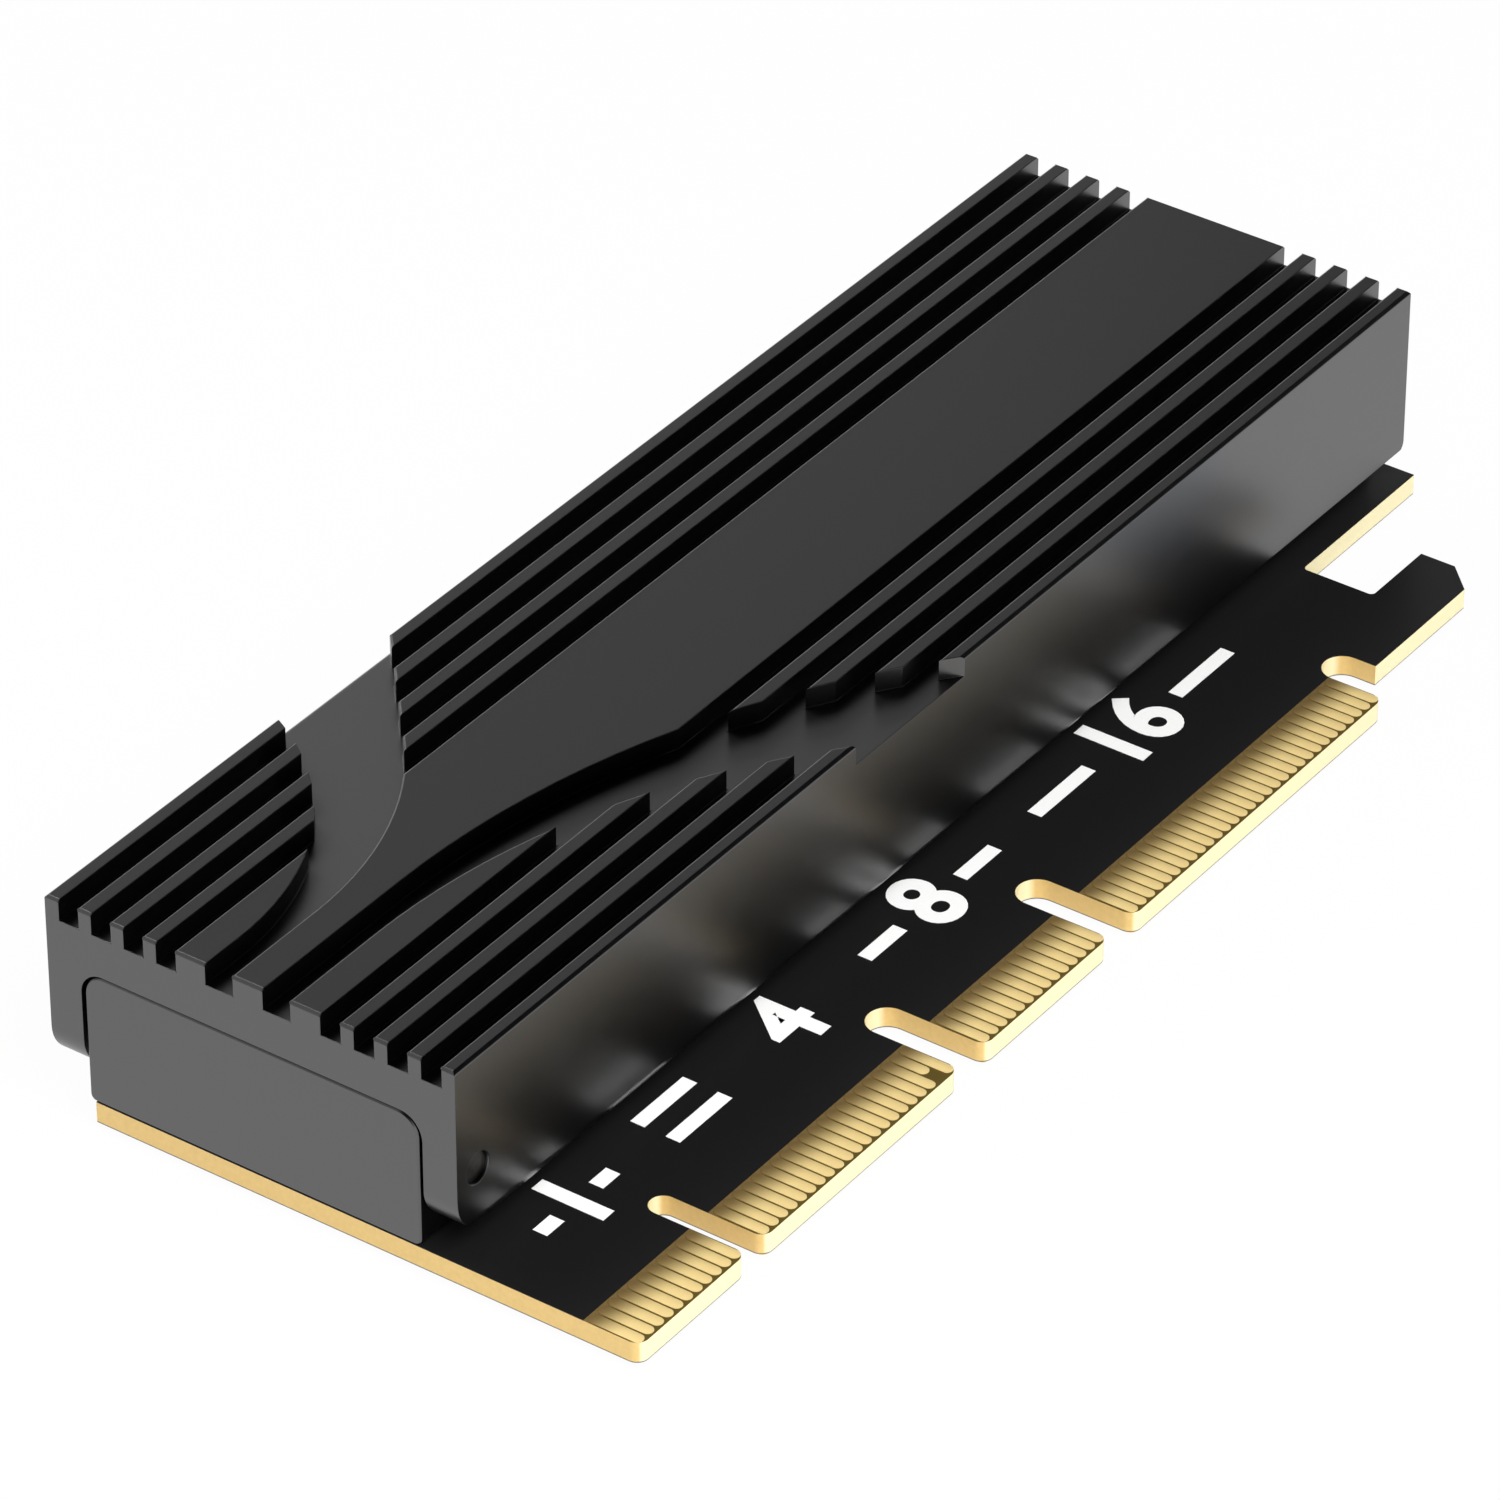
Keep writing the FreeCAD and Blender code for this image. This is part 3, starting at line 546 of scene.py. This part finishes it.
softened("heatsink_cover", "cover", "cover_metal", cover_finish, 0.05, 3, worn=0.2)
softened("heatsink_core", "core", "core_metal", core_finish, 0.04)
softened("circuit_board", "board", "board", board_finish(), 0.05)
softened("cover_pins", "pins", "pin_metal", pin_finish, 0.08, segments=3)
softened("core_screws", "core_screw_set", "screw_steel", steel_finish, 0.08)
softened("support_screw", "pillar_screw", "screw_steel", steel_finish, 0.08)
softened("drive_screw", "hold_down_screw", "screw_steel", steel_finish, 0.08)
softened("drive_support", "pillar", "support_brass", brass_finish, 0.08)
softened("thermal_pad", "gap_pad", "pad", pad_finish, 0.2, segments=3)
softened("m2_socket_housing", "socket_block", "socket_plastic", socket_finish, 0.06)
softened("socket_contacts_upper", "upper_leads", "gold", gilt_finish, 0.02)
softened("socket_contacts_lower", "lower_leads", "gold", gilt_finish, 0.02)
softened("socket_solder_lugs", "socket_lugs", "lug_metal", tin_finish, 0.05)
softened("bulk_capacitors", "large_chips", "ceramic", ceramic_finish, 0.06)
softened("small_capacitors", "small_chips", "ceramic", ceramic_finish, 0.04)
softened("resistors", "resistor_chips", "resistor_body", resistor_finish, 0.03)
softened("status_led", "lamp", "led_lens", lens_finish, 0.08)
gold_contacts("edge_contacts_top", "contacts_component_side", 1, 31)
gold_contacts("edge_contacts_bottom", "contacts_solder_side", -1, 1)

# ------------------------------------------------------------- the printed marks

INK_HEIGHT = 0.02
INK_FOOT = BOARD_TOP + 0.001
PRINT_MIDDLE = 11.16
DIGIT_HEIGHT = 5.4
# A digit's height as a share of the type's size, and how much bolder it is cut.
DIGIT_SHARE = 0.73
BOLDER = 0.22
LANES = (("1", -45.0), ("4", -22.5), ("8", -6.6), ("16", 17.0))
BAR_WIDTH = 1.1
# The middle of each pair of bars along the card, their reach from it, and their gap.
BAR_PAIRS = ((-45.0, 3.8, 2.0), (-6.6, 7.4, 3.4), (17.0, 11.6, 5.2))
# Two bars side by side between the numbers 1 and 4: their rows, middle and length.
STACK_ROWS = (9.6, 12.3)
STACK_MIDDLE = -33.7
STACK_LENGTH = 5.6


def printed(name, outlines):
    """Flat marks of white ink, each a closed outline."""
    corners, faces = [], []
    top = BOARD_TOP + INK_HEIGHT
    for outline in outlines:
        base = len(corners)
        count = len(outline)
        corners += [(x, y, INK_FOOT) for x, y in outline]
        corners += [(x, y, top) for x, y in outline]
        faces.append([base + count + i for i in range(count)])
        faces.append([base + i for i in reversed(range(count))])
        for i in range(count):
            after = (i + 1) % count
            faces.append(
                [base + i, base + after, base + count + after, base + count + i]
            )
    add_piece(name, mesh_of(name, corners, faces), "board", ink_finish)


def bar(x, y, length):
    """A plain bar along the card, about its middle."""
    return [(x + a * BAR_WIDTH / 2, y + b * length / 2) for a, b in CORNERS]


def digits(name, text, middle):
    """A number that reads along the card, its head towards the heatsink."""
    words = bpy.data.curves.new(name, "FONT")
    words.body = text
    words.size = DIGIT_HEIGHT / DIGIT_SHARE * MM
    words.align_x = "CENTER"
    words.align_y = "CENTER"
    words.offset = BOLDER * MM
    words.extrude = INK_HEIGHT * MM / 2
    words.resolution_u = 6
    drawn = bpy.data.objects.new(name, words)
    mesh = bpy.data.meshes.new_from_object(drawn)
    bpy.data.objects.remove(drawn)
    for vertex in mesh.vertices:
        x, y, z = vertex.co
        vertex.co = (
            PRINT_MIDDLE * MM - y,
            middle * MM + x,
            (INK_FOOT + INK_HEIGHT / 2) * MM + z,
        )
    mesh.update()
    add_piece(name, mesh, "board", ink_finish)


ink_finish = print_ink()
for text, middle in LANES:
    digits(f"lane_number_{text}", text, middle)

bars = []
for middle, reach, gap in BAR_PAIRS:
    length = reach - gap
    for side in (-1, 1):
        bars.append(bar(PRINT_MIDDLE, middle + side * (gap + length / 2), length))
for row in STACK_ROWS:
    bars.append(bar(row, STACK_MIDDLE, STACK_LENGTH))
printed("lane_bars", bars)

# ---------------------------------------------------------------- floor and lights

FLOOR_HALF = 4000
# The share of plain white in what the lens sees of the floor; the rest is its shade.
FLOOR_WHITE = 0.965
# Between these angles above level the white walls end, in degrees.
WALL_TOP = (5.5, 8.0)

# Lamps that also show in the metal: bearing, rise, size and power.
LAMPS = (
    ("left_high", 270, 40, (700, 700), 6.2),
    ("front_left_high", 315, 40, (700, 700), 0.8),
    ("front_left_low", 315, 12, (700, 500), 1.0),
    ("back_left_high", 225, 40, (700, 700), 0.35),
    ("back_left_low", 228, 13, (700, 500), 1.1),
    ("front_right_low", 45, 12, (700, 500), 0.7),
    ("back_low", 180, 12, (700, 500), 0.7),
)
LAMP_DISTANCE = 1200
NEAR_END = (0, -40, 10)
NEAR_CORNER = (15, -45, 2)


def floor_finish():
    """A pale floor that stays white for the lens and in polished metal."""
    pale = Finish("studio_floor", Base_Color=(0.72, 0.72, 0.72), Roughness=0.9)
    glow = pale.node("Emission", (), {"Color": (1, 1, 1), "Strength": 1.0})
    seen = pale.node("LightPath", output="Is Camera Ray")
    gloss = pale.node("LightPath", output="Is Glossy Ray")
    through = pale.node("LightPath", output="Is Transmission Ray")
    share = seen * FLOOR_WHITE + gloss + through
    lit = Level(pale, pale.shader.outputs["BSDF"])
    mixed = pale.node("MixShader", (), {0: share, 1: lit, 2: glow})
    pale.feed(pale.tree.nodes["Material Output"].inputs["Surface"], mixed)
    return pale.material


def floor():
    corners = [(a * FLOOR_HALF, b * FLOOR_HALF, 0) for a, b in CORNERS]
    mesh = mesh_of("floor", corners, [(0, 1, 2, 3)])
    mesh.materials.append(floor_finish())
    ground = bpy.data.objects.new("floor", mesh)
    bpy.context.scene.collection.objects.link(ground)


def softbox(name, around, up, distance, size, power, target=(0, 0, 0), gloss=False):
    """A soft lamp that points at a target, placed by its bearing from it.

    The bearing is 0 in front, along -Y, and 90 on the right. Lengths in millimetres.
    A lamp with no gloss fills the shade and leaves no highlight on the metal.
    """
    lamp = bpy.data.lights.new(name, "AREA")
    lamp.shape = "RECTANGLE"
    lamp.size = size[0] * MM
    lamp.size_y = size[1] * MM
    lamp.energy = power
    holder = bpy.data.objects.new(name, lamp)
    bpy.context.scene.collection.objects.link(holder)
    away = bearing(around, up)
    holder.location = (Vector(target) + away * distance) * MM
    holder.rotation_euler = (-away).to_track_quat("-Z", "Y").to_euler()
    holder.visible_glossy = gloss


def bearing(around, up):
    """The direction at an angle around Z from the front and an angle above level."""
    turn, rise = math.radians(around), math.radians(up)
    return Vector(
        (
            math.sin(turn) * math.cos(rise),
            -math.cos(turn) * math.cos(rise),
            math.sin(rise),
        )
    )


def daylight():
    """A dark room whose walls are white near the floor, to the lens and in gloss."""
    studio = bpy.data.worlds.new("studio")
    studio.use_nodes = True
    bpy.context.scene.world = studio
    room = Wiring(studio.node_tree)
    towards = room.node("TexCoord", output="Generated")
    rise = room.node("SeparateXYZ", (), {"Vector": towards}, "Z")
    low, high = (math.sin(math.radians(angle)) for angle in WALL_TOP)
    limits = {"From Min": low, "From Max": high, "To Min": 1.0, "To Max": 0.0}
    wall = room.node("MapRange", (), {"Value": rise, **limits})
    seen = room.node("LightPath", output="Is Camera Ray")
    for ray in ("Is Glossy Ray", "Is Transmission Ray"):
        seen = seen.larger(room.node("LightPath", output=ray))
    back = studio.node_tree.nodes["Background"].inputs
    room.feed(back["Color"], (1, 1, 1))
    room.feed(back["Strength"], seen * wall)


floor()
daylight()
for name, around, up, size, power in LAMPS:
    softbox(name, around, up, LAMP_DISTANCE, size, power, gloss=True)
softbox("near_front", 14.7, 46.2, 567, (300, 300), 0.48, NEAR_END)
softbox("near_right", 64.1, 27.4, 413, (250, 250), 0.50, NEAR_END)
softbox("fill_right", 75, 50, LAMP_DISTANCE, (900, 900), 8.4)
softbox("fill_front", 40, 60, LAMP_DISTANCE, (900, 900), 3.0)
softbox("fill_near", 60, 55, 260, (150, 150), 0.34, NEAR_CORNER)

# ---------------------------------------------------------------------- camera

AIM = Vector((-3.116, -6.505, 8.325))
AZIMUTH, ELEVATION = 35.368, 34.953
DISTANCE = 575.5
LENS, SENSOR = 213.66, 36.0


def camera():
    lens = bpy.data.cameras.new("camera")
    lens.lens = LENS
    lens.sensor_width = SENSOR
    lens.clip_start = 0.01
    lens.clip_end = 50.0
    view = bpy.data.objects.new("camera", lens)
    bpy.context.scene.collection.objects.link(view)
    away = bearing(AZIMUTH, ELEVATION)
    view.location = (AIM + away * DISTANCE) * MM
    view.rotation_euler = (-away).to_track_quat("-Z", "Y").to_euler()
    bpy.context.scene.camera = view


camera()
bpy.context.scene.view_settings.view_transform = "Standard"
